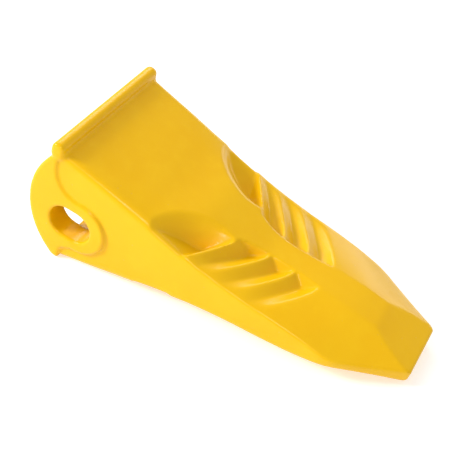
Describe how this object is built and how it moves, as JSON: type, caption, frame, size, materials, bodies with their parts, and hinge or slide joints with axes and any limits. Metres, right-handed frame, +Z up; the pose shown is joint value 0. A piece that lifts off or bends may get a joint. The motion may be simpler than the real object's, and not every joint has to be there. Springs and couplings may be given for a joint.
{
  "type": "excavator bucket tooth",
  "caption": "Hollow wedge-shaped bucket tooth with scooped faces, a raised rear lip and slotted ears, with its cross pin and the spring ring that locks it.",
  "frame": {"origin": "middle of the cross pin's axis, halfway between the two ears: the point where the tooth is fixed to the adapter's nose", "axes": "+X towards the tip, +Y along the pin towards the ear that holds the retainer, +Z up, with the tooth lying on its underside. The casting's own centreline points 8.1 degrees below +X"},
  "size_m": [0.2661, 0.129, 0.0943],
  "materials": {
    "yellow_paint": "glossy yellow enamel over a cast steel surface",
    "pin_steel": "turned and heat-treated alloy steel, lightly oiled",
    "spring_steel": "blued spring steel",
    "rubber": "matte black moulded rubber"
  },
  "bodies": {
    "tooth": {"tooth_point": "yellow_paint", "retainer_snap_ring": "spring_steel", "retainer_cushion": "rubber"},
    "pin": {"retaining_pin": "pin_steel"}
  },
  "joints": [
    {"name": "pin_slide", "type": "slide", "parent": "tooth", "child": "pin", "axis": [0, 1, 0], "range_m": [-0.022, 0.092]}
  ]
}
